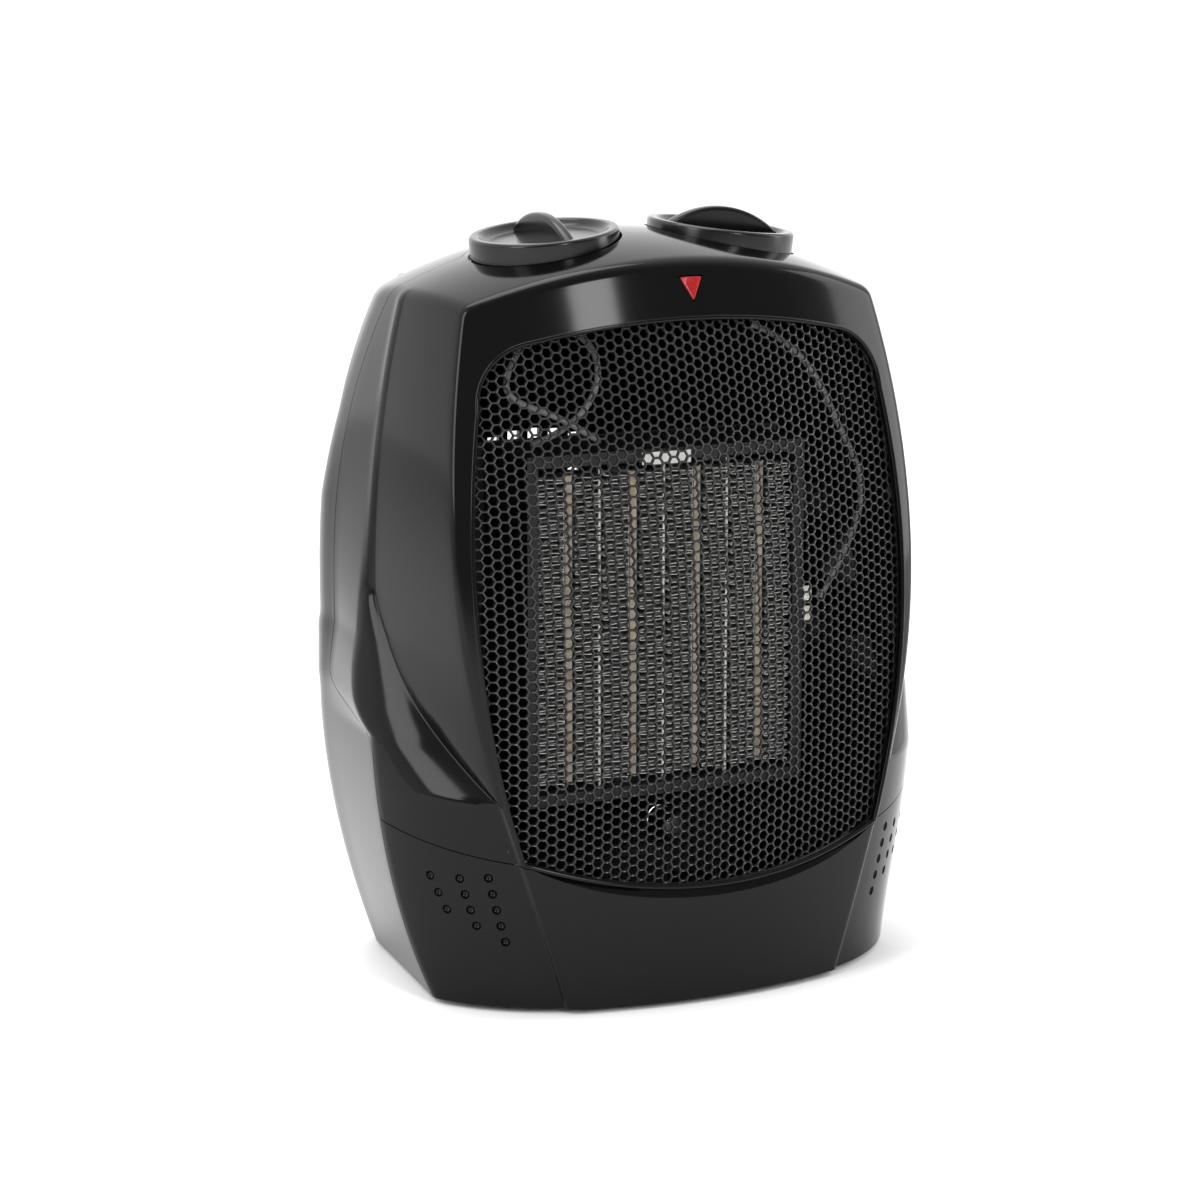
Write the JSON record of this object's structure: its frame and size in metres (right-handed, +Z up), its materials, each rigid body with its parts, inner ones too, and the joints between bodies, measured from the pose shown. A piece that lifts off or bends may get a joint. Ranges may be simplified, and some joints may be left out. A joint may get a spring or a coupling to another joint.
{
  "type": "ceramic space heater",
  "caption": "Free-standing ceramic fan heater with a bowed mesh front, flared black casing, red pilot lens and two rotary controls on top.",
  "frame": {"origin": "on the floor under the middle of the heater's bounding box", "axes": "+Z up, +X to the right as seen from in front, front (grille) towards -Y"},
  "size_m": [0.2056, 0.1507, 0.2582],
  "materials": {
    "gloss_shell": "gloss",
    "rear_gloss": "semi-gloss",
    "matt_shell": "fine texture",
    "knob_plastic": "semi-gloss",
    "grille_mesh": "satin black",
    "red_lens": "translucent, fine prism grid",
    "lamp_glass": "clear",
    "rubber": "matt",
    "screw_steel": "zinc plated",
    "plated_steel": "zinc plated",
    "lamination_steel": "oiled laminations",
    "coil_copper": "enamelled winding",
    "bearing_bronze": "sintered bronze",
    "brass_tab": "tinned",
    "fin_aluminium": "bright rolled",
    "ptc_ceramic": "matt tan",
    "heater_frame": "heat-proof moulding",
    "duct_plastic": "matt",
    "fan_plastic": "satin",
    "switch_case": "matt",
    "white_plastic": "natural nylon",
    "wire_insulation": "silicone sleeve"
  },
  "bodies": {
    "casing": {"front_housing": "gloss_shell", "lower_front_cover": "gloss_shell", "rear_housing": "rear_gloss", "base_plate": "matt_shell", "rubber_feet": "rubber", "base_screws": "screw_steel", "case_screws": "screw_steel", "front_grille": "grille_mesh", "indicator_lens": "red_lens", "indicator_lamp": "lamp_glass", "mode_switch": "switch_case", "thermostat": "switch_case", "control_nuts": "screw_steel", "heater_frame": "heater_frame", "ptc_bars": "ptc_ceramic", "electrode_plates": "fin_aluminium", "heater_fins": "fin_aluminium", "heater_terminals": "brass_tab", "thermal_cutout": "plated_steel", "air_duct": "duct_plastic", "duct_screws": "screw_steel", "motor_stator": "lamination_steel", "motor_coil": "coil_copper", "motor_brackets": "plated_steel", "motor_bearings": "bearing_bronze", "motor_mount": "plated_steel", "motor_sleeves": "plated_steel", "motor_screws": "screw_steel", "mount_screws": "screw_steel", "tip_over_switch": "switch_case", "terminal_block": "switch_case", "cord_inlet_bush": "rubber", "wiring": "wire_insulation"},
    "mode_control": {"mode_knob": "knob_plastic", "mode_spindle": "white_plastic"},
    "thermostat_control": {"thermostat_knob": "knob_plastic", "thermostat_spindle": "brass_tab"},
    "fan": {"fan_wheel": "fan_plastic", "motor_shaft": "screw_steel", "motor_rotor": "lamination_steel", "fan_clip": "plated_steel"}
  },
  "joints": [
    {"name": "mode_turn", "type": "hinge", "parent": "casing", "child": "mode_control", "pos_m": [-0.033, -0.0085, 0.252], "axis": [0.1044, 0.0523, -0.9932], "range_deg": [0, 135]},
    {"name": "thermostat_turn", "type": "hinge", "parent": "casing", "child": "thermostat_control", "pos_m": [0.033, -0.0085, 0.252], "axis": [-0.1044, 0.0523, -0.9932], "range_deg": [0, 270]},
    {"name": "fan_spin", "type": "hinge", "parent": "casing", "child": "fan", "pos_m": [0, 0.03, 0.1215], "axis": [0, 1, 0], "continuous": true}
  ]
}
